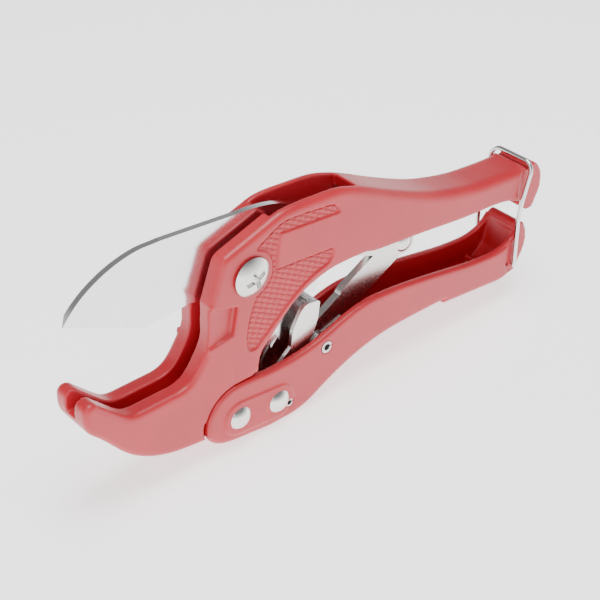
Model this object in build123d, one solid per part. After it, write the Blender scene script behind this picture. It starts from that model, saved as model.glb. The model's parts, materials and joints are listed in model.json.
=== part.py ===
"""Ratcheting pipe cutter for plastic pipe up to 42 mm, with a wire bail latch.

Units are millimetres. X runs along the tool, from the jaw (-X) to the handle tails (+X).
Y is across its thickness, and every rivet, pin and screw lies along Y. Z is up.
The origin is under the middle of the tool, at the level of the lower handle's belly.
The tool is shown with its handles latched shut and its blade part open.
"""
from math import cos, radians, sin, sqrt, atan2, degrees
import os

from build123d import *

# ---- driving dimensions -------------------------------------------------------------

BODY_HALF = 8.4          # half thickness of the body casting
HANDLE_HALF = 9.1        # half thickness of the lower handle
EAR_INNER = 6.2          # inner face of the lower handle's ears and channel walls
TONGUE_HALF = 5.9        # half thickness of the body's tongue between the ears
CAVITY_HALF = 5.2        # half width of the hollow in the body and upper handle
SLOT_HALF = 2.4          # half width of the blade slot
TAIL_HALF = 7.6          # half thickness of the two handle tails behind the bail
FLOOR = 2.8              # floor thickness of the lower handle's channel

BLADE_HALF = 1.1         # half thickness of the blade
TOOTH_TIP_R = 41.0       # radius of the ratchet teeth about the blade pivot
TOOTH_ROOT_R = 39.0
TOOTH_PITCH = 5.5        # degrees
TOOTH_COUNT = 9
TOOTH_FIRST = -37.5      # direction of the first tooth's working face, degrees

# Pivot axes as (X, Z)
BLADE_PIVOT = (-37.9, 64.6)
HANDLE_PIVOT = (-44.6, 11.8)
PAWL_PIVOT = (-28.0, 10.0)
LOWER_LINK_PIVOT = (-6.2, 21.8)
KNEE = (35.0, 44.0)
UPPER_LINK_PIVOT = (7.2, 55.2)
SPRING_PIN = (-23.2, 6.7)
BAIL_AXIS = (93.8, 56.3)

RUNNING = 0.05           # radial clearance of a running fit
KNEE_CLEARANCE = 0.75    # radial clearance of the open pivot at the knee
GAP = 0.3                # clearance between faces that pass each other

SLEEVE_R = 4.0           # the blade turns on this sleeve
SCREW_R = 2.5
SCREW_HEAD_R = 6.8
SCREW_HEAD_H = 2.3
CROSS_LENGTH, CROSS_WIDTH, CROSS_DEPTH = 7.6, 1.7, 1.9
WASHER_T = 0.8
RIVET_HEAD_R = 4.2
RIVET_HEAD_H = 1.9
HANDLE_RIVET_R = 3.0
PAWL_RIVET_R = 2.5
BUSH_R = 4.6
EAR_R = 13.0             # rounded front of the lower handle about its pivot
PAD_R = 6.3              # raised pad that joins the two rivets
PAD_H = 0.6
ROLL_PIN_R = 2.25
ROLL_PIN_BORE_R = 1.25
SMALL_PIN_R = 1.6
SMALL_PIN_BORE_R = 0.9
UPPER_PIN_R = 2.5
KNEE_RIVET_R = 2.6
KNEE_HEAD_R = 3.6
KNEE_HEAD_H = 1.5

PAWL_WALL_IN, PAWL_WALL_OUT = 3.6, 5.0
LINK_HALF = 1.4          # half thickness of the lower link plate
LINK_WIDTH = 5.4         # half width of the lower link plate
CLEVIS_IN, CLEVIS_OUT = 1.75, 3.35
CLEVIS_WIDTH = 4.7       # half width of the upper link's side walls

WIRE_R = 0.85            # bail wire
BAIL_LEG_Y = 9.75        # centreline of each bail leg
FOOT_IN = 0.35           # how far each foot bends inwards
BAIL_FOOT = (88.5, 15.0)
BAIL_KNEE = (88.3, 35.0)
BAIL_SHOULDER = (89.5, 42.0)

# ---- helpers ------------------------------------------------------------------------


def slab(face, low_y, high_y):
    """Extrude a face drawn as (X, Z) between two Y values."""
    return Pos(0, high_y, 0) * extrude(Plane.XZ * face, amount=high_y - low_y)


def rod(centre, radius, low_y, high_y):
    """Round bar along Y."""
    middle = (low_y + high_y) / 2
    return Pos(centre[0], middle, centre[1]) * Rot(90, 0, 0) * Cylinder(radius, high_y - low_y)


def tube(centre, outer, inner, low_y, high_y):
    """Round tube along Y."""
    return rod(centre, outer, low_y, high_y) - rod(centre, inner, low_y - 1, high_y + 1)


def polar(centre, radius, angle):
    """Point at an angle in degrees, counted from +X towards +Z."""
    return (centre[0] + radius * cos(radians(angle)), centre[1] + radius * sin(radians(angle)))


def outline(*parts):
    """Face inside a closed chain of curves."""
    return make_face(Curve() + list(parts))


def polygon(*points):
    """Face with straight sides."""
    return make_face(Polyline(*points, close=True))


def disc(centre, radius):
    """Round face at a centre."""
    return Pos(*centre) * Circle(radius)


def stadium(start, end, radius):
    """Face of two half circles joined by straight sides."""
    middle = ((start[0] + end[0]) / 2, (start[1] + end[1]) / 2)
    run = (end[0] - start[0], end[1] - start[1])
    length = sqrt(run[0] ** 2 + run[1] ** 2)
    bar = Pos(*middle) * Rot(0, 0, degrees(atan2(run[1], run[0]))) * Rectangle(length, 2 * radius)
    return disc(start, radius) + bar + disc(end, radius)


def dome(centre, radius, height, base_y, direction):
    """Low round head on a plane of constant Y, standing out along direction."""
    ball_r = (radius ** 2 + height ** 2) / (2 * height)
    ball = Pos(centre[0], base_y - direction * (ball_r - height), centre[1]) * Sphere(ball_r)
    keep_low, keep_high = sorted((base_y, base_y + direction * (height + 1)))
    return ball & rod(centre, radius + 1, keep_low, keep_high)


# ---- body casting -------------------------------------------------------------------

SEAT = [(-96.6, 43.6), (-92.4, 39.4), (-88.3, 35.4), (-82.0, 33.1)]
SEAT_CORNER = [(-68.0, 33.1), (-58.9, 38.9), (-54.3, 50.5)]
JAW_BACK = [(-102.0, 42.0), (-97.3, 30.8), (-87.5, 19.2), (-72.0, 10.6), (-56.7, 8.2), (-44.6, 8.0)]
HANDLE_TOP = [(4.0, 79.8), (11.0, 77.2), (21.5, 72.2), (34.3, 66.3), (44.5, 62.2), (56.0, 58.9),
              (67.5, 56.6), (79.0, 55.5), (91.0, 55.0)]
HANDLE_UNDER = [(92.2, 40.0), (84.5, 43.2), (67.0, 45.2), (33.6, 48.8), (15.0, 50.9), (0.0, 52.2)]
HEAD_UNDER = [(0.0, 52.2), (-9.5, 50.7), (-20.9, 45.2), (-30.0, 36.4), (-35.0, 25.8)]


def body_outline():
    """Side view of jaw, head and upper handle."""
    return outline(
        ThreePointArc((-102.0, 42.0), (-99.8, 44.9), SEAT[0]),
        Spline(*SEAT, tangents=((1, -1), (1, 0))),
        Line(SEAT[-1], SEAT_CORNER[0]),
        Spline(*SEAT_CORNER, tangents=((1, 0), (0, 1))),
        Polyline(SEAT_CORNER[-1], (-54.0, 59.5), (-49.3, 72.0)),
        ThreePointArc((-49.3, 72.0), (-48.4, 73.7), (-46.6, 74.9)),
        Line((-46.6, 74.9), (-26.7, 81.5)),
        Spline((-26.7, 81.5), (-18.3, 82.3), (-10.0, 81.8), HANDLE_TOP[0], tangents=((3, 1), (3, -1))),
        Spline(*HANDLE_TOP, tangents=((3, -1), (1, 0))),
        Line((91.0, 55.0), (95.4, 55.0)),
        ThreePointArc((95.4, 55.0), (97.6, 54.7), (99.2, 53.4)),
        ThreePointArc((99.2, 53.4), (102.0, 46.5), (99.6, 38.5)),
        ThreePointArc((99.6, 38.5), (96.8, 35.3), (93.4, 37.4)),
        Line((93.4, 37.4), (92.2, 40.0)),
        Spline(*HANDLE_UNDER, tangents=((-1, 0.5), (-1, 0))),
        Spline(*HEAD_UNDER, tangents=((-1, 0), (0, -1))),
        Line(HEAD_UNDER[-1], (-35.0, 11.8)),
        ThreePointArc((-35.0, 11.8), polar(HANDLE_PIVOT, 9.6, -45), (-44.6, 2.2)),
        ThreePointArc((-44.6, 2.2), polar(HANDLE_PIVOT, 9.6, -125), (-52.6, 6.5)),
        Line((-52.6, 6.5), (-56.7, 8.2)),
        Spline(*reversed(JAW_BACK[:-1]), tangents=((-1, 0.1), (0.1, 1))),
    )


def blade_slot():
    """Slot through the jaw and head that the blade and its toothed tail swing in."""
    sweep = disc(BLADE_PIVOT, TOOTH_TIP_R + 1.4)
    floor = polygon((-110, 39.5), (-99.6, 38.0), (-94.3, 30.6), (-89.4, 24.4), (-84.0, 23.4),
                    (-62.0, 27.5), (-40, 60), (-30, 100), (-110, 100))
    return slab(sweep, -SLOT_HALF, SLOT_HALF) + slab(floor, -SLOT_HALF, SLOT_HALF)


def body_cavity():
    """Hollow of the head and upper handle, open above the hump and along the underside."""
    under_roof = outline(
        Polyline((-23.5, 90.0), (-23.5, 20.0), (86.0, 20.0), (86.0, 52.0)),
        Spline((86.0, 52.0), (67.5, 53.4), (50.0, 57.2), (34.3, 62.8), (9.0, 73.8),
               tangents=((-1, 0), (-2, 0.8))),
        Polyline((9.0, 73.8), (9.0, 90.0), (-23.5, 90.0)),
    )
    mouth = polygon((-29.0, 90.0), (-29.0, 82.0), (-23.5, 77.0), (-23.5, 90.0))
    return slab(under_roof, -CAVITY_HALF, CAVITY_HALF) + slab(mouth, -CAVITY_HALF, CAVITY_HALF)


def ear_pockets():
    """Room on each side of the tongue for the lower handle's ears as they turn."""
    reach = disc(HANDLE_PIVOT, EAR_R + 0.5) + polygon(
        (-46.0, 0.0), (-20.0, 0.0), (-20.0, 25.3), (-46.0, 25.3))
    return slab(reach, TONGUE_HALF, 20) + slab(reach, -20, -TONGUE_HALF)


def side_pockets():
    """Wedge-shaped pocket on each cheek beside the pipe seat, deepest at its rear step."""
    step = polygon((-60.0, 59.9), (-43.2, 55.2), (-45.3, 45.3), (-54.7, 44.0), (-60.0, 49.3))
    shallow, deep = BODY_HALF - 0.5, BODY_HALF - 2.2
    wedge = Plane.XY * make_face(Polyline(
        (-60.0, shallow), (-43.0, deep), (-43.0, 14.0), (-60.0, 14.0), close=True))
    near = Pos(0, 0, 40) * extrude(wedge, amount=25) & slab(step, 0, 14)
    return near + mirror(near, about=Plane.XZ)


GRIP_RECESS = 0.8


def grip_recess():
    """Recess for the knurled grip on the near cheek, wrapped around a plain plate."""
    hook = outline(
        Polyline((-36.5, 73.0), (-27.0, 78.2)),
        Spline((-27.0, 78.2), (-20.0, 79.0), (-5.0, 77.4), tangents=((2, 1), (8, -1))),
        ThreePointArc((-5.0, 77.4), (-1.4, 75.8), (-0.2, 72.8)),
        Polyline((-0.2, 72.8), (-25.4, 74.9), (-27.4, 62.6), (-2.6, 60.5), (-3.0, 57.8)),
        ThreePointArc((-3.0, 57.8), (-4.6, 55.6), (-7.0, 54.6)),
        Spline((-7.0, 54.6), (-18.3, 49.8), (-28.0, 42.3), (-34.6, 36.9),
               tangents=((-5, -1), (-5, -4))),
        ThreePointArc((-34.6, 36.9), (-38.3, 35.6), (-40.3, 38.3)),
        Spline((-40.3, 38.3), (-39.3, 47.0), (-35.8, 56.0), tangents=((0, 1), (1, 2))),
        ThreePointArc((-35.8, 56.0), (-29.0, 64.6), (-36.5, 73.0)),
    )
    return slab(hook, -12, GRIP_RECESS - BODY_HALF)


def body_bores():
    """Bores for the sleeve, the bush and the upper link's pin, and the spring's pocket."""
    cuts = rod(BLADE_PIVOT, SLEEVE_R, -12, 12)
    cuts += rod(HANDLE_PIVOT, BUSH_R, -12, 12)
    cuts += rod(UPPER_LINK_PIVOT, UPPER_PIN_R, -6.9, 12)
    cuts += rod(BLADE_PIVOT, 9.4, 0, 5.3)
    return cuts


def bail_notch():
    """Groove across the end of the upper handle, where the bail's top bar sits."""
    return slab(polygon((92.2, 53.6), (95.4, 53.6), (95.4, 60), (92.2, 60)), -20, 20)


def tail_trim():
    """Material taken off both sides of a handle tail, behind its bail seat."""
    behind = polygon((91.4, -5), (120, -5), (120, 70), (91.4, 70))
    return slab(behind, TAIL_HALF, 20) + slab(behind, -20, -TAIL_HALF)


def body_casting():
    """Jaw, head and upper handle, cast in one piece."""
    solid = slab(body_outline(), -BODY_HALF, BODY_HALF)
    for cut in (bail_notch(), blade_slot(), body_cavity(), ear_pockets(), side_pockets(), grip_recess(),
                body_bores(), tail_trim()):
        solid = solid - cut
    return solid


# ---- lower handle -------------------------------------------------------------------

LOWER_TOP = [(-33.0, 23.9), (-22.0, 23.8), (-9.0, 25.8), (2.8, 29.6), (14.0, 31.6), (22.0, 31.3),
             (35.7, 29.6), (54.0, 26.4), (69.0, 24.0), (77.0, 23.4), (84.0, 24.2)]
LOWER_BELLY = [(88.0, 10.5), (83.0, 9.2), (77.3, 9.6), (51.8, 12.8), (32.0, 14.2)]
LOWER_NECK = [(32.0, 14.2), (18.0, 13.3), (4.0, 9.7), (-8.0, 4.5), (-21.5, 0.0)]
TAIL_PEAK = [(91.0, 28.9), (93.4, 30.5), (95.3, 28.4)]


def lower_outline():
    """Side view of the lower handle."""
    ear_top = (HANDLE_PIVOT[0], HANDLE_PIVOT[1] + EAR_R)
    ear_left = polar(HANDLE_PIVOT, EAR_R, 195)
    return outline(
        ThreePointArc(ear_left, polar(HANDLE_PIVOT, EAR_R, 140), ear_top),
        Spline(ear_top, *LOWER_TOP, tangents=((1, 0), (4, 1))),
        Spline(LOWER_TOP[-1], (88.2, 26.2), TAIL_PEAK[0], tangents=((4, 1), (1, 1))),
        ThreePointArc(*TAIL_PEAK),
        ThreePointArc(TAIL_PEAK[-1], (96.6, 22.0), (94.4, 15.5)),
        ThreePointArc((94.4, 15.5), (91.8, 12.3), LOWER_BELLY[0]),
        Spline(*LOWER_BELLY, tangents=((-2, -1), (-1, 0))),
        Spline(*LOWER_NECK, tangents=((-1, 0), (-1, -0.1))),
        Line(LOWER_NECK[-1], (-29.5, 0.0)),
        Spline((-29.5, 0.0), (-38.0, 0.9), (-48.0, 2.3), (-54.2, 4.7), ear_left,
               tangents=((-1, 0), (-0.4, 1))),
    )


def handle_channel():
    """Trough of the lower handle, open above, and the gap between its ears."""
    trough = outline(
        Polyline((-33.0, 40.0), (-33.0, FLOOR), (-23.0, FLOOR)),
        Spline((-23.0, FLOOR), (-10.5, 6.6), (0.0, 11.3), (10.0, 14.6), (20.9, 16.6), (32.0, 17.1),
               (51.8, 15.7), (77.3, 12.6), (81.0, 12.6), tangents=((3, 0.5), (1, 0.3))),
        Polyline((81.0, 12.6), (87.2, 18.0), (90.4, 27.0), (91.0, 40.0), (-33.0, 40.0)),
    )
    fork = polygon((-33.0, -5.0), (-33.0, 40.0), (-65.0, 40.0), (-65.0, -5.0))
    return slab(trough, -EAR_INNER, EAR_INNER) + slab(fork, -EAR_INNER, EAR_INNER)


def channel_rib():
    """Low rib across the floor of the channel, near the tail."""
    return slab(polygon((78.6, 11.0), (80.0, 11.0), (80.0, 15.4), (78.6, 15.0)), -EAR_INNER, EAR_INNER)


def foot_holes():
    """Small blind hole on each side, just ahead of the bail's foot."""
    spot = (86.4, 15.4)
    return rod(spot, 0.9, 7.2, 12) + rod(spot, 0.9, -12, -7.2)


def bail_scoops():
    """Shallow scoop on each side of the tail, where the bail's legs lie and swing."""
    scoop = stadium((88.4, 15.0), (88.4, 40.0), 2.6) + polygon((88.4, 0), (99, 0), (99, 45), (88.4, 45))
    floor = BAIL_LEG_Y - WIRE_R - 0.45
    return slab(scoop, floor, 20) + slab(scoop, -20, -floor)


def lower_handle():
    """Lower handle, cast in one piece with its two ears."""
    solid = slab(lower_outline(), -HANDLE_HALF, HANDLE_HALF)
    pad = stadium(HANDLE_PIVOT, PAWL_PIVOT, PAD_R)
    face = HANDLE_HALF - 1
    solid += slab(pad, face, HANDLE_HALF + PAD_H) + slab(pad, -HANDLE_HALF - PAD_H, -face)
    for cut in (handle_channel(), bail_scoops(), foot_holes(), tail_trim(),
                rod(HANDLE_PIVOT, HANDLE_RIVET_R, -12, 12), rod(PAWL_PIVOT, PAWL_RIVET_R, -12, 12),
                rod(LOWER_LINK_PIVOT, ROLL_PIN_R, -12, 12), rod(SPRING_PIN, SMALL_PIN_R, -12, 12)):
        solid = solid - cut
    return solid + channel_rib()


# ---- blade --------------------------------------------------------------------------

BLADE_TIP = (-101.8, 71.2)
EDGE_CORNER = (-74.4, 58.0)
EDGE_ROOT = (-56.5, 59.1)
BEVEL = 3.2              # width of the ground bevel along the edge
EDGE_Y = -0.7            # how far across the blade the bevel reaches at the very edge
SPINE = [(-101.8, 71.2), (-96.3, 77.0), (-88.9, 81.8), (-82.5, 84.4), (-74.0, 86.1), (-66.0, 86.0)]
BLADE_BACK = [(-37.6, 83.6), (-25.7, 82.3), (-15.4, 78.4), (-8.5, 69.0), (-5.0, 56.0)]


def tooth_points():
    """Ratchet teeth along the tail, from the first tooth down to the last."""
    points = []
    for tooth in range(TOOTH_COUNT):
        face = TOOTH_FIRST - tooth * TOOTH_PITCH
        points.append(polar(BLADE_PIVOT, TOOTH_TIP_R, face))
        points.append(polar(BLADE_PIVOT, TOOTH_ROOT_R, face))
    return points


def bevel(start, end, side):
    """Wedge ground off one side of the blade along a straight stretch of its edge."""
    run = Vector(end[0] - start[0], 0, end[1] - start[1])
    inward = Vector(run.Z, 0, -run.X) if run.X < 0 else Vector(-run.Z, 0, run.X)
    frame = Plane(origin=(start[0], 0, start[1]), x_dir=inward, z_dir=run)
    if frame.y_dir.Y * side < 0:
        frame = Plane(origin=(end[0], 0, end[1]), x_dir=inward, z_dir=-run)
    section = polygon((-1.0, EDGE_Y), (0.0, EDGE_Y), (BEVEL, BLADE_HALF), (BEVEL, 2.0), (-1.0, 2.0))
    return extrude(frame * section, amount=run.length)


def blade():
    """Blade plate with its cutting edge, pivot bore and toothed tail."""
    tab = polar(BLADE_PIVOT, TOOTH_TIP_R, -31.5)
    teeth = tooth_points()
    plate = outline(
        Spline(*SPINE, tangents=((1, 1.3), (1, 0))),
        Line(SPINE[-1], BLADE_BACK[0]),
        Spline(*BLADE_BACK, tab, tangents=((8, -0.3), (0.2, -1))),
        ThreePointArc(tab, polar(BLADE_PIVOT, TOOTH_TIP_R, -34.5), teeth[0]),
        Polyline(*teeth),
        Spline(teeth[-1], (-41.0, 34.0), (-46.5, 50.0), (-50.5, 56.5), EDGE_ROOT,
               tangents=((-1, 1), (-1, 0.3))),
        Polyline(EDGE_ROOT, EDGE_CORNER, BLADE_TIP),
    )
    solid = slab(plate, -BLADE_HALF, BLADE_HALF)
    solid -= rod(BLADE_PIVOT, SLEEVE_R + RUNNING, -5, 5)
    solid -= rod(polar(BLADE_PIVOT, 7.2, 200), 0.75, -5, 5)
    solid -= bevel(EDGE_CORNER, BLADE_TIP, 1)
    return solid - bevel(EDGE_ROOT, EDGE_CORNER, 1)


# ---- pivot hardware -----------------------------------------------------------------


def pivot_sleeve():
    """Hardened sleeve pressed through both cheeks, which the blade turns on."""
    return tube(BLADE_PIVOT, SLEEVE_R, SCREW_R, -BODY_HALF, BODY_HALF)


def pivot_screw():
    """Pan-head screw through the sleeve, with a cross recess in its head."""
    face = -BODY_HALF - WASHER_T
    solid = rod(BLADE_PIVOT, SCREW_R, face, BODY_HALF) + dome(BLADE_PIVOT, SCREW_HEAD_R, SCREW_HEAD_H, face, -1)
    for turn in (20, 110):
        wing = Pos(*BLADE_PIVOT) * Rot(0, 0, turn) * Rectangle(CROSS_LENGTH, CROSS_WIDTH)
        solid -= slab(wing, face - SCREW_HEAD_H - 1, face - SCREW_HEAD_H + CROSS_DEPTH)
    return solid


def pivot_washer():
    """Spring washer between the screw's head and the near cheek."""
    return tube(BLADE_PIVOT, 5.6, SCREW_R, -BODY_HALF - WASHER_T, -BODY_HALF)


def pivot_nut():
    """Round nut on the far cheek, with two slots for a pin spanner."""
    solid = rod(BLADE_PIVOT, SCREW_HEAD_R, BODY_HALF, BODY_HALF + 2.2) - rod(BLADE_PIVOT, SCREW_R, 0, 12)
    for side in (0, 180):
        solid -= rod(polar(BLADE_PIVOT, 4.7, side), 0.9, BODY_HALF + 0.9, 12)
    return solid


def blade_washer():
    """Thin washer that keeps the blade off the near cheek."""
    return tube(BLADE_PIVOT, 8.6, SLEEVE_R, -SLOT_HALF, -BLADE_HALF - 0.1)


def coil(centre, mean_r, wire_r, first_y, turns):
    """Close-wound coil along Y, as rings that touch."""
    rings = []
    for turn in range(turns):
        y = first_y + turn * 1.9 * wire_r
        rings.append(Pos(centre[0], y, centre[1]) * Rot(90, 0, 0) * Torus(mean_r, wire_r))
    return rings[0] + rings[1:]


def wire(start, end, wire_r):
    """Straight piece of wire between two (X, Y, Z) points."""
    return sweep(Plane(origin=start, z_dir=Vector(*end) - Vector(*start)) * Circle(wire_r),
                 path=Line(start, end))


def blade_spring():
    """Torsion spring in the far cheek, hooked into the blade, which opens it."""
    wire_r, mean_r = 0.65, 7.2
    solid = coil(BLADE_PIVOT, mean_r, wire_r, 2.9, 2)
    hook = polar(BLADE_PIVOT, mean_r, 200)
    return solid + rod(hook, wire_r, -0.4, 2.9)


def handle_pivot_bush():
    """Bronze bush in the tongue, which the front rivet turns in."""
    return tube(HANDLE_PIVOT, BUSH_R, HANDLE_RIVET_R + RUNNING, -TONGUE_HALF, TONGUE_HALF)


def ear_rivet(centre, shank_r):
    """Rivet through both ears, with a low round head on each side."""
    seat = HANDLE_HALF + PAD_H
    solid = rod(centre, shank_r, -seat, seat)
    for side in (-1, 1):
        solid += dome(centre, RIVET_HEAD_R, RIVET_HEAD_H, side * seat, side)
    return solid


def roll_pin(centre, outer, bore, low_y, high_y):
    """Slotted tube pin along Y."""
    slit = Pos(centre[0] + outer, (low_y + high_y) / 2, centre[1]) * Box(2 * outer, 60, 0.5)
    return tube(centre, outer, bore, low_y, high_y) - slit


# ---- pawl ---------------------------------------------------------------------------

PAWL_BOSS_R = 3.6
PAWL_BACK = [(-22.0, 11.6), (-16.4, 14.2), (-11.9, 22.0), (-8.3, 28.0), (-6.8, 32.0), (-5.9, 38.4)]
PAWL_FRONT = [(-10.5, 39.9), (-14.8, 37.4), (-18.0, 31.6), (-18.8, 25.6), (-29.5, 16.5)]


def pawl():
    """Folded pawl: two side walls and the cross web whose top edge meets the teeth."""
    boss_start = polar(PAWL_PIVOT, PAWL_BOSS_R, 180)
    boss_end = polar(PAWL_PIVOT, PAWL_BOSS_R, -30)
    side = outline(
        Polyline(boss_end, *PAWL_BACK, (-6.6, 39.2), PAWL_FRONT[0]),
        Spline(*PAWL_FRONT[:3], tangents=((-1, 0), (-1, -2))),
        Polyline(*PAWL_FRONT[2:], boss_start),
        ThreePointArc(boss_start, polar(PAWL_PIVOT, PAWL_BOSS_R, -100), boss_end),
    )
    inside = disc(BLADE_PIVOT, TOOTH_TIP_R + GAP)
    web = polygon((-7.8, 35.4), (-6.3, 35.4), (-5.9, 38.4), (-6.6, 39.2), (-9.5, 39.4))
    solid = slab(side, PAWL_WALL_IN, PAWL_WALL_OUT) + slab(side, -PAWL_WALL_OUT, -PAWL_WALL_IN)
    back = polygon((-9.2, 28.6), (-8.2, 28.6), (-6.8, 32.0), (-6.1, 37.0), (-7.6, 37.0), (-8.2, 32.0))
    for low_y in (-PAWL_WALL_IN, 2.3):
        solid += slab(back, low_y, low_y + PAWL_WALL_IN - 2.3)
    solid += slab(web - inside, -PAWL_WALL_IN, PAWL_WALL_IN)
    return solid - rod(PAWL_PIVOT, PAWL_RIVET_R + RUNNING, -12, 12)


def pawl_spring():
    """Torsion spring on the pawl rivet, which holds the pawl to the teeth."""
    wire_r, mean_r = 0.45, 3.35
    solid = coil(PAWL_PIVOT, mean_r, wire_r, -2.6, 7)
    reaction = (PAWL_PIVOT[0] + 8.0, -2.6, PAWL_PIVOT[1] + mean_r)
    solid += wire((PAWL_PIVOT[0], -2.6, PAWL_PIVOT[1] + mean_r), reaction, wire_r)
    start = polar(PAWL_PIVOT, mean_r, 145)
    end = (start[0] + 17.0 * cos(radians(55)), start[1] + 17.0 * sin(radians(55)))
    return solid + wire((start[0], 2.53, start[1]), (end[0], 2.53, end[1]), wire_r)


# ---- links --------------------------------------------------------------------------


def lower_link():
    """Flat link from the lower handle to the knee."""
    run = (KNEE[0] - LOWER_LINK_PIVOT[0], KNEE[1] - LOWER_LINK_PIVOT[1])
    angle = degrees(atan2(run[1], run[0]))
    narrow = 4.3
    waist = polar(LOWER_LINK_PIVOT, 20.0, angle)
    plate = stadium(waist, KNEE, LINK_WIDTH) + stadium(LOWER_LINK_PIVOT, waist, narrow)
    solid = slab(plate, -LINK_HALF, LINK_HALF)
    solid -= rod(LOWER_LINK_PIVOT, ROLL_PIN_R + RUNNING, -5, 5)
    return solid - rod(KNEE, KNEE_RIVET_R + KNEE_CLEARANCE, -5, 5)


def upper_link():
    """Folded link from the upper handle to the knee, straddling the lower link."""
    wall = stadium(UPPER_LINK_PIVOT, KNEE, CLEVIS_WIDTH)
    solid = slab(wall, CLEVIS_IN, CLEVIS_OUT) + slab(wall, -CLEVIS_OUT, -CLEVIS_IN)
    run = (KNEE[0] - UPPER_LINK_PIVOT[0], KNEE[1] - UPPER_LINK_PIVOT[1])
    angle = atan2(run[1], run[0])
    middle = polar(UPPER_LINK_PIVOT, 13.0, degrees(angle))
    rise = CLEVIS_WIDTH - 0.8
    bridge_at = (middle[0] - rise * sin(angle), middle[1] + rise * cos(angle))
    bridge = Pos(*bridge_at) * Rot(0, 0, degrees(angle)) * Rectangle(14.0, 1.6)
    solid += slab(bridge, -CLEVIS_IN, CLEVIS_IN)
    solid -= rod(UPPER_LINK_PIVOT, UPPER_PIN_R + RUNNING, -5, 5)
    return solid - rod(KNEE, KNEE_RIVET_R, -5, 5)


def knee_rivet():
    """Rivet at the knee, tight in the upper link and loose in the lower one."""
    solid = rod(KNEE, KNEE_RIVET_R, -CLEVIS_OUT, CLEVIS_OUT)
    for side in (-1, 1):
        solid += dome(KNEE, KNEE_HEAD_R, KNEE_HEAD_H, side * CLEVIS_OUT, side)
    return solid


def upper_link_spacers():
    """Two spacers that centre the upper link in the hollow of the handle."""
    near = tube(UPPER_LINK_PIVOT, 4.2, UPPER_PIN_R, -CAVITY_HALF, -CLEVIS_OUT - 0.1)
    far = tube(UPPER_LINK_PIVOT, 4.2, UPPER_PIN_R, CLEVIS_OUT + 0.1, CAVITY_HALF)
    return Compound(children=[near, far])


def link_spacer():
    """Spacer on the lower link's pin, on the side away from the spring."""
    return tube(LOWER_LINK_PIVOT, 3.3, ROLL_PIN_R, LINK_HALF + 0.1, EAR_INNER)


def handle_spring():
    """Torsion spring on the lower link's pin, which spreads the handles."""
    wire_r, mean_r = 0.5, 2.8
    solid = coil(LOWER_LINK_PIVOT, mean_r, wire_r, -5.6, 4)
    foot = polar(LOWER_LINK_PIVOT, mean_r, 180)
    solid += wire((foot[0], -5.6, foot[1]), (foot[0] + 2.0, -5.6, foot[1] - 11.5), wire_r)
    start = polar(LOWER_LINK_PIVOT, mean_r, -62)
    end = (start[0] + 13.5 * cos(radians(17)), start[1] + 13.5 * sin(radians(17)))
    last_y = -5.6 + 3 * 1.9 * wire_r
    return solid + wire((start[0], last_y, start[1]), (end[0], last_y, end[1]), wire_r)


# ---- bail ---------------------------------------------------------------------------


def wire_bail():
    """Bent wire that closes over both handle tails."""
    points = [(BAIL_FOOT[0], -BAIL_LEG_Y + FOOT_IN, BAIL_FOOT[1] - 0.9),
              (BAIL_FOOT[0], -BAIL_LEG_Y, BAIL_FOOT[1] + 0.8),
              (BAIL_KNEE[0], -BAIL_LEG_Y, BAIL_KNEE[1]),
              (BAIL_SHOULDER[0], -BAIL_LEG_Y, BAIL_SHOULDER[1]),
              (BAIL_AXIS[0], -BAIL_LEG_Y, BAIL_AXIS[1]),
              (BAIL_AXIS[0], BAIL_LEG_Y, BAIL_AXIS[1]),
              (BAIL_SHOULDER[0], BAIL_LEG_Y, BAIL_SHOULDER[1]),
              (BAIL_KNEE[0], BAIL_LEG_Y, BAIL_KNEE[1]),
              (BAIL_FOOT[0], BAIL_LEG_Y, BAIL_FOOT[1] + 0.8),
              (BAIL_FOOT[0], BAIL_LEG_Y - FOOT_IN, BAIL_FOOT[1] - 0.9)]
    bends = [1.5, 12.0, 12.0, 4.0, 4.0, 12.0, 12.0, 1.5]
    path = FilletPolyline(*points, radius=bends)
    section = Plane(origin=path @ 0, z_dir=path % 0) * Circle(WIRE_R)
    return sweep(section, path=path)


# ---- write every piece --------------------------------------------------------------

PARTS = {
    "body_casting": body_casting(),
    "lower_handle": lower_handle(),
    "blade": blade(),
    "blade_pivot_sleeve": pivot_sleeve(),
    "blade_pivot_screw": pivot_screw(),
    "blade_pivot_washer": pivot_washer(),
    "blade_pivot_nut": pivot_nut(),
    "blade_washer": blade_washer(),
    "blade_spring": blade_spring(),
    "handle_pivot_bush": handle_pivot_bush(),
    "handle_pivot_rivet": ear_rivet(HANDLE_PIVOT, HANDLE_RIVET_R),
    "pawl_rivet": ear_rivet(PAWL_PIVOT, PAWL_RIVET_R),
    "pawl": pawl(),
    "pawl_spring": pawl_spring(),
    "pawl_spring_pin": roll_pin(SPRING_PIN, SMALL_PIN_R, SMALL_PIN_BORE_R, -HANDLE_HALF, HANDLE_HALF),
    "lower_link_pin": roll_pin(LOWER_LINK_PIVOT, ROLL_PIN_R, ROLL_PIN_BORE_R, -HANDLE_HALF, HANDLE_HALF),
    "lower_link": lower_link(),
    "lower_link_spacer": link_spacer(),
    "handle_spring": handle_spring(),
    "upper_link": upper_link(),
    "knee_rivet": knee_rivet(),
    "upper_link_pin": roll_pin(UPPER_LINK_PIVOT, UPPER_PIN_R, ROLL_PIN_BORE_R, -6.6, BODY_HALF - 0.4),
    "upper_link_spacers": upper_link_spacers(),
    "wire_bail": wire_bail(),
}

os.makedirs("parts", exist_ok=True)
for name, shape in PARTS.items():
    export_step(shape, f"parts/{name}.step")
    box = shape.bounding_box()
    print(name, len(shape.solids()), round(shape.volume, 1), [round(v, 2) for v in (*box.min, *box.max)])
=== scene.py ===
"""Ratcheting pipe cutter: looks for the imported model."""
from math import cos, radians, sin, sqrt
import json

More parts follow.
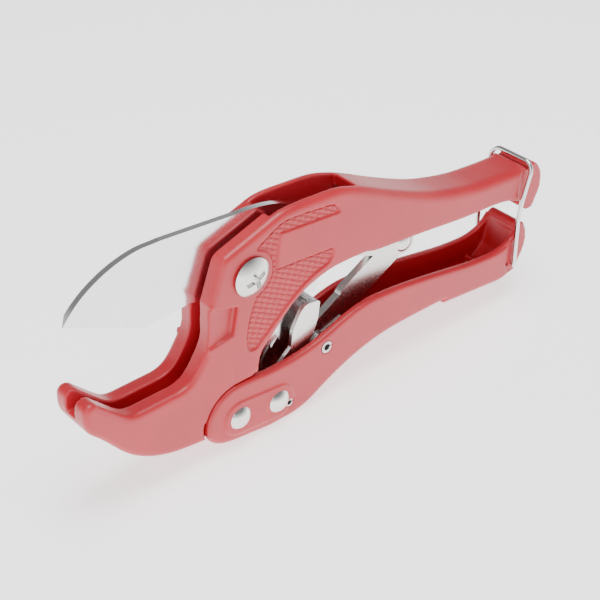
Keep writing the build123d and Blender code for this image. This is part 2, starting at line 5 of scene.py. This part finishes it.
import bmesh
import bpy
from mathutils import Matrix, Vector
from mathutils.bvhtree import BVHTree
from mathutils.kdtree import KDTree


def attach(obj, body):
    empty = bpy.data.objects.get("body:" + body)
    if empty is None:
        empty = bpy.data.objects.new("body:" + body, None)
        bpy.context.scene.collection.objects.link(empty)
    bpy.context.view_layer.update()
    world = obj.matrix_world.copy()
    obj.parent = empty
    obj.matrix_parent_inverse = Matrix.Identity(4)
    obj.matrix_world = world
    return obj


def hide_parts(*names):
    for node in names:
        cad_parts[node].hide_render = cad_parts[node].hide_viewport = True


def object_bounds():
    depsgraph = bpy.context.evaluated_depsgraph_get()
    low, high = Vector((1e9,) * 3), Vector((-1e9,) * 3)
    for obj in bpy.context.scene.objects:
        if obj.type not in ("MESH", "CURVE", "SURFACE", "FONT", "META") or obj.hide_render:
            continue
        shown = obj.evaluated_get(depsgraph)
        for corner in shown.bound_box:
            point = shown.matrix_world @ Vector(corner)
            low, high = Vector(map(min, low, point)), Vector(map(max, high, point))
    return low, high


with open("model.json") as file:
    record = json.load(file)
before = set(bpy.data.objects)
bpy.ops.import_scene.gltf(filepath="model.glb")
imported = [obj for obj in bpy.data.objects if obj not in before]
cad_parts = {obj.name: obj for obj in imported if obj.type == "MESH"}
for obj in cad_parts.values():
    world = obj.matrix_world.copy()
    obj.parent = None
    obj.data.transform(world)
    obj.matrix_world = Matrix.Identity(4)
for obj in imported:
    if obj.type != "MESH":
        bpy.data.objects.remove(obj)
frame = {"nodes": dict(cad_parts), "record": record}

CAD_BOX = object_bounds()
MM = 0.001

# ---- scene helpers --------------------------------------------------------------------


def link(obj):
    """Adds an object to the scene."""
    bpy.context.scene.collection.objects.link(obj)
    return obj


def new_piece(name, mesh, body, slot, material, *nodes):
    """A finished piece on its body, with its material, standing for some CAD nodes. The slot argument is
    not used.
    """
    obj = link(bpy.data.objects.new(name, mesh))
    obj.data.materials.clear()
    obj.data.materials.append(material)
    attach(obj, body)
    if nodes:
        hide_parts(*nodes)
    return obj


def applied(obj):
    """Mesh of an object with its modifiers applied."""
    graph = bpy.context.evaluated_depsgraph_get()
    graph.update()
    return bpy.data.meshes.new_from_object(obj.evaluated_get(graph), depsgraph=graph)


def mesh_from(bm, name):
    """Mesh made from a bmesh, which is freed."""
    mesh = bpy.data.meshes.new(name)
    bm.to_mesh(mesh)
    bm.free()
    return mesh


# ---- camera, floor and light ----------------------------------------------------------

camera = link(bpy.data.objects.new("camera", bpy.data.cameras.new("camera")))
camera.data.lens = 84
camera.data.sensor_width = 36
camera.data.clip_start = 0.01
camera.location = (-0.26337, -0.29093, 0.30850)
camera.rotation_euler = (radians(55), 0, radians(-41))
bpy.context.scene.camera = camera


def plain(name, color, rough):
    """A simple material for the stage."""
    mat = bpy.data.materials.new(name)
    mat.use_nodes = True
    shader = mat.node_tree.nodes["Principled BSDF"]
    shader.inputs["Base Color"].default_value = (*color, 1)
    shader.inputs["Roughness"].default_value = rough
    return mat


def floor():
    """Plain pale ground under the tool."""
    bm = bmesh.new()
    bmesh.ops.create_grid(bm, x_segments=1, y_segments=1, size=3.0)
    ground = link(bpy.data.objects.new("floor", mesh_from(bm, "floor")))
    ground.location.z = CAD_BOX[0][2] - 0.0002
    paper = plain("floor", (0.95, 0.95, 0.95), 0.9)
    glow = paper.node_tree.nodes["Principled BSDF"].inputs
    glow["Emission Color"].default_value = (1, 1, 1, 1)
    glow["Emission Strength"].default_value = 1.4
    ground.data.materials.append(paper)


def area_light(name, place, target, size, power):
    """Soft square light aimed at a point."""
    data = bpy.data.lights.new(name, "AREA")
    data.shape = "RECTANGLE"
    data.size, data.size_y = size
    data.energy = power
    lamp = link(bpy.data.objects.new(name, data))
    lamp.location = place
    lamp.rotation_euler = (Vector(target) - Vector(place)).to_track_quat("-Z", "Y").to_euler()
    return lamp


def lights():
    """Bright even studio light, strongest from above and from the left."""
    world = bpy.data.worlds.new("studio")
    world.use_nodes = True
    tree = world.node_tree
    place = tree.nodes.new("ShaderNodeTexCoord")
    split = tree.nodes.new("ShaderNodeSeparateXYZ")
    fade = tree.nodes.new("ShaderNodeValToRGB")
    for element, (at, value) in zip(fade.color_ramp.elements, ((0.03, 1.0), (0.45, 0.16))):
        element.position = at
        element.color = (value, value, value, 1)
    tree.links.new(place.outputs["Generated"], split.inputs["Vector"])
    tree.links.new(split.outputs["Z"], fade.inputs["Fac"])
    tree.links.new(fade.outputs["Color"], tree.nodes["Background"].inputs["Color"])
    tree.nodes["Background"].inputs["Strength"].default_value = 1.6
    bpy.context.scene.world = world
    middle = (0, 0, 0.04)
    area_light("top", (0.0, -0.05, 0.9), middle, (0.5, 0.5), 8)
    area_light("left", (-0.7, -0.45, 0.55), middle, (0.6, 0.5), 3)


floor()
lights()

# ---- materials ------------------------------------------------------------------------


class Nodes:
    """Small helper around a material's node tree."""

    def __init__(self, name):
        self.mat = bpy.data.materials.new(name)
        self.mat.use_nodes = True
        self.tree = self.mat.node_tree
        self.shader = self.tree.nodes["Principled BSDF"]

    def add(self, kind, **settings):
        """A new node with its inputs or settings given by name."""
        node = self.tree.nodes.new(kind)
        for key, value in settings.items():
            if key in node.inputs.keys():
                node.inputs[key].default_value = value
            else:
                setattr(node, key, value)
        return node

    def join(self, source, target):
        """Link between two sockets."""
        self.tree.links.new(source, target)

    def coords(self, scale=(1, 1, 1)):
        """Object coordinates, stretched along the axes."""
        place = self.add("ShaderNodeTexCoord")
        shape = self.add("ShaderNodeMapping")
        shape.inputs["Scale"].default_value = scale
        self.join(place.outputs["Object"], shape.inputs["Vector"])
        return shape.outputs["Vector"]

    def noise(self, scale, detail=2.0, stretch=(1, 1, 1)):
        """Noise in object space."""
        node = self.add("ShaderNodeTexNoise", Scale=scale, Detail=detail)
        self.join(self.coords(stretch), node.inputs["Vector"])
        return node.outputs["Fac"]

    def ramp(self, source, *stops):
        """Colours that a value runs through."""
        node = self.add("ShaderNodeValToRGB")
        while len(node.color_ramp.elements) < len(stops):
            node.color_ramp.elements.new(0.5)
        for element, (at, color) in zip(node.color_ramp.elements, stops):
            element.position = at
            element.color = (*color, 1)
        self.join(source, node.inputs["Fac"])
        return node.outputs["Color"]

    def bump(self, source, distance, strength=1.0, below=None):
        """Surface relief, over another one if given."""
        node = self.add("ShaderNodeBump", Strength=strength, Distance=distance)
        self.join(source, node.inputs["Height"])
        if below is not None:
            self.join(below, node.inputs["Normal"])
        return node.outputs["Normal"]

    def set(self, **values):
        """Plain values on the shader; an underscore stands for a space."""
        for key, value in values.items():
            self.shader.inputs[key.replace("_", " ")].default_value = value


def grey(value):
    return (value, value, value)


def red_casting():
    """Satin red coating on a cast surface: fine orange peel and faint speckle."""
    n = Nodes("red_casting")
    peel = n.noise(900, 3)
    grain = n.noise(3200, 2)
    tone = n.ramp(n.noise(60, 4), (0.3, (0.46, 0.010, 0.020)), (0.7, (0.52, 0.014, 0.026)))
    n.join(tone, n.shader.inputs["Base Color"])
    rough = n.ramp(grain, (0.3, grey(0.36)), (0.7, grey(0.50)))
    n.join(rough, n.shader.inputs["Roughness"])
    n.join(n.bump(grain, 0.00002, 0.5, n.bump(peel, 0.00005, 0.5)), n.shader.inputs["Normal"])
    n.set(Coat_Weight=0.25, Coat_Roughness=0.35)
    return n.mat


def steel(name, color, low, high, stretch, wear=0.15, scale=2500):
    """Metal with fine directional lines and a little unevenness."""
    n = Nodes(name)
    lines = n.noise(scale, 4, stretch)
    cloud = n.noise(90, 2)
    dark = tuple(c * (1 - wear) for c in color)
    n.join(n.ramp(cloud, (0.3, dark), (0.65, color)), n.shader.inputs["Base Color"])
    n.join(n.ramp(lines, (0.25, grey(low)), (0.75, grey(high))), n.shader.inputs["Roughness"])
    n.join(n.bump(lines, 0.000002, 0.3), n.shader.inputs["Normal"])
    n.set(Metallic=1.0)
    return n.mat


RED = red_casting()
BLADE = steel("blade_steel", (0.86, 0.87, 0.89), 0.10, 0.22, (1, 1, 14), 0.05)
PLATED = steel("plated_hardware", (0.80, 0.79, 0.77), 0.14, 0.26, (1, 1, 1), 0.12)
TURNED = steel("steel_hardware", (0.60, 0.59, 0.58), 0.25, 0.40, (1, 12, 1), 0.2)
PRESSED = steel("pressed_steel", (0.74, 0.73, 0.71), 0.26, 0.28, (1, 1, 1), 0.08, 300)
SPRING = steel("spring_steel", (0.42, 0.41, 0.40), 0.25, 0.40, (1, 1, 1), 0.2)
WIRE = steel("wire_steel", (0.72, 0.72, 0.72), 0.15, 0.28, (1, 1, 6), 0.12)
BRONZE = steel("bronze_bush", (0.66, 0.42, 0.18), 0.25, 0.40, (1, 12, 1), 0.2)

BY_SLOT = {"red_casting": RED, "blade_steel": BLADE, "plated_hardware": PLATED, "steel_hardware": TURNED,
           "pressed_steel": PRESSED, "spring_steel": SPRING, "wire_steel": WIRE, "bronze_bush": BRONZE}
for part in frame["record"]["subparts"]:
    node = frame["nodes"][part["node"]]
    node.data.materials.clear()
    node.data.materials.append(BY_SLOT[part["material_slot"]])

# ---- castings -------------------------------------------------------------------------

VOXEL = 0.42 * MM            # cell of the remesh that a casting's look is made on
FACE_LIMIT = 190000          # triangles at most in one piece
MOST_ROUND = 4.0 * MM        # no rim rounding is larger
SOFTEN = 3                   # smoothing passes over the whole casting
FLAT_SLACK = 0.01 * MM       # a point this near a casting's flat side lies on it
RIM_STEP = 0.2 * MM          # spacing of the points along a rim
RIM_OUTSIDE = 0.5 * MM       # a point this far outside the rim is still rounded
BODY_HALF = 8.4 * MM         # half widths of the two castings
HANDLE_HALF = 9.1 * MM
EAR_CENTRE = Vector((-0.0446, 0.0118))    # the lower handle's ears turn beside this spot
EAR_REACH = 15.2 * MM


def flat_key(v):
    """A vertex as seen from the side, rounded so that neighbouring faces share it."""
    return (round(v.x, 6), round(v.z, 6))


def rim_edges(mesh, half, side):
    """Edges of a casting's flat side that only one of its faces has, each in that face's winding order."""
    found = {}
    for face in mesh.polygons:
        corners = [mesh.vertices[i].co for i in face.vertices]
        if any(v.y * side < half - FLAT_SLACK for v in corners):
            continue
        keys = [flat_key(v) for v in corners]
        for start, end in zip(keys, keys[1:] + keys[:1]):
            edge = (min(start, end), max(start, end))
            found[edge] = None if edge in found else (start, end)
    return sorted(edge for edge in found.values() if edge and edge[0] != edge[1])


def outer_loop(edges):
    """Corners of the widest of the loops that some edges form."""
    around = {}
    for start, end in edges:
        around.setdefault(start, []).append(end)
        around.setdefault(end, []).append(start)
    left, loops = set(around), []
    while left:
        todo, loop = [left.pop()], []
        while todo:
            key = todo.pop()
            loop.append(key)
            fresh = [other for other in around[key] if other in left]
            left.difference_update(fresh)
            todo.extend(fresh)
        loops.append(set(loop))
    return max(loops, key=lambda loop: max(x for x, _ in loop) - min(x for x, _ in loop))


def rim_tree(mesh, half, side):
    """Tree of points along the outer rim of one flat side, and each point's direction into the casting."""
    edges = rim_edges(mesh, half, side)
    outer = outer_loop(edges)
    points = []
    for start, end in edges:
        if start not in outer:
            continue
        p, q = Vector((start[0], 0, start[1])), Vector((end[0], 0, end[1]))
        inward = Vector((0, side, 0)).cross(q - p).normalized()
        steps = int((q - p).length / RIM_STEP) + 1
        points += [(p.lerp(q, k / steps), inward) for k in range(steps + 1)]
    tree = KDTree(len(points))
    for i, (point, _) in enumerate(points):
        tree.insert(point, i)
    tree.balance()
    return tree, [inward for _, inward in points]


def round_over(bm, half, trees, radius_at):
    """Rounds the outer rim of both flat sides with the radius that radius_at gives for a rim point."""
    for v in bm.verts:
        side = 1 if v.co.y > 0 else -1
        down = half - abs(v.co.y)
        if down > MOST_ROUND:
            continue
        tree, inwards = trees[side]
        near, index, _ = tree.find((v.co.x, 0, v.co.z))
        inward = inwards[index]
        radius = radius_at(near, inward)
        across = (Vector((v.co.x, 0, v.co.z)) - near).dot(inward)
        if down > radius or not -RIM_OUTSIDE < across < radius:
            continue
        du, dv = radius - across, radius - max(down, 0)
        reach = sqrt(du * du + dv * dv)
        if reach <= radius:
            continue
        v.co += inward * (radius - du * radius / reach - across)
        v.co.y = side * (half - radius + dv * radius / reach)


def cast_piece(name, node, body, voxel, half, radius_at, dress=None):
    """Casting with rounded rims and softened inner corners, made from its CAD node."""
    source = frame["nodes"][node]
    trees = {side: rim_tree(source.data, half, side) for side in (-1, 1)}
    work = link(bpy.data.objects.new(name + "_work", source.data.copy()))
    remesh = work.modifiers.new("remesh", "REMESH")
    remesh.mode = "VOXEL"
    remesh.voxel_size = voxel
    mesh = applied(work)
    bm = bmesh.new()
    bm.from_mesh(mesh)
    bm.normal_update()
    round_over(bm, half, trees, radius_at)
    for _ in range(SOFTEN):
        bmesh.ops.smooth_vert(bm, verts=bm.verts, factor=0.5,
                              use_axis_x=True, use_axis_y=True, use_axis_z=True)
    if dress:
        dress(bm)
    bm.to_mesh(mesh)
    bm.free()
    work.modifiers.clear()
    work.data = mesh
    triangles = len(mesh.polygons) * 2
    if triangles > FACE_LIMIT:
        thin = work.modifiers.new("thin", "DECIMATE")
        thin.ratio = FACE_LIMIT / triangles
        mesh = applied(work)
    bpy.data.objects.remove(work)
    for face in mesh.polygons:
        face.use_smooth = True
    return new_piece(name, mesh, body, "red_casting", RED, node)


def body_radius(rim, inward):
    """Rim rounding of jaw, head and upper handle: the handle's top is the roundest."""
    if (Vector((rim.x, rim.z)) - EAR_CENTRE).length < EAR_REACH and rim.x > -0.0575:
        return 0.6 * MM
    if -0.0575 < rim.x < -0.0425 and 0.043 < rim.z < 0.060:
        return 0.6 * MM
    if rim.x < -0.052:
        return 2.0 * MM
    if inward.z > 0:
        return 1.5 * MM
    return (2.2 + 1.4 * min(max((rim.x + 0.03) / 0.08, 0), 1)) * MM


def handle_radius(rim, inward):
    """Rim rounding of the lower handle: rounder below than along its open top."""
    return (1.5 + 1.0 * min(max(inward.z * 2, 0), 1)) * MM


cast_piece("body_casting_look", "body_casting", "body", VOXEL, BODY_HALF, body_radius)
cast_piece("lower_handle_look", "lower_handle", "lower_handle_body", VOXEL, HANDLE_HALF, handle_radius)

# ---- knurled grip ---------------------------------------------------------------------

KNURL_STEP = 0.22 * MM       # grid of the height field
KNURL_HEIGHT = 0.50 * MM
GRIP_DEPTH = 0.8 * MM        # depth of the CAD recess that the knurl lies in
GROOVES = ((-30, 1.8 * MM, 1.0), (68, 2.7 * MM, 0.55))    # direction in degrees, spacing, depth share


def groove(x, z, angle, pitch):
    """0 in a groove's bottom, 1 on the land between two grooves."""
    across = -x * sin(radians(angle)) + z * cos(radians(angle))
    off = abs((across / pitch) % 1.0 - 0.5) * 2
    return min(1.0, (1.0 - off) * 1.9)


def knurl():
    """Diamond-knurled skin on the floor of the grip recess."""
    cad = frame["nodes"]["body_casting"].data
    floor_y = -(BODY_HALF - GRIP_DEPTH)
    floor_faces = [f for f in cad.polygons if f.center.x < 0.01 and abs(f.normal.y) > 0.99
                   and all(abs(cad.vertices[i].co.y - floor_y) < 0.02 * MM for i in f.vertices)]
    used = sorted({i for f in floor_faces for i in f.vertices})
    index = {old: new for new, old in enumerate(used)}
    corners = [cad.vertices[i].co.copy() for i in used]
    tree = BVHTree.FromPolygons(corners, [[index[i] for i in f.vertices] for f in floor_faces])
    xs = [c.x for c in corners]
    zs = [c.z for c in corners]
    across = int((max(xs) - min(xs)) / KNURL_STEP) + 1
    up = int((max(zs) - min(zs)) / KNURL_STEP) + 1

    def inside(x, z):
        return tree.ray_cast(Vector((x, floor_y - 0.01, z)), Vector((0, 1, 0)))[0] is not None

    bm = bmesh.new()
    grid = {}
    for i in range(across + 1):
        for k in range(up + 1):
            x, z = min(xs) + i * KNURL_STEP, min(zs) + k * KNURL_STEP
            if not inside(x, z):
                continue
            land = 1.0
            for angle, pitch, share in GROOVES:
                land = min(land, 1 - share + share * groove(x, z, angle, pitch))
            reach = 0.5 * MM
            open_side = all(inside(x + dx, z + dz) for dx in (-reach, reach) for dz in (-reach, reach))
            height = KNURL_HEIGHT * land if open_side else 0.0
            grid[i, k] = bm.verts.new((x, floor_y - 0.02 * MM - height, z))
    for (i, k), v in grid.items():
        ring = [v, grid.get((i + 1, k)), grid.get((i + 1, k + 1)), grid.get((i, k + 1))]
        if all(ring):
            bm.faces.new(ring)
    mesh = mesh_from(bm, "grip_knurl")
    for face in mesh.polygons:
        face.use_smooth = True
    new_piece("grip_knurl", mesh, "body", "red_casting", RED)


knurl()
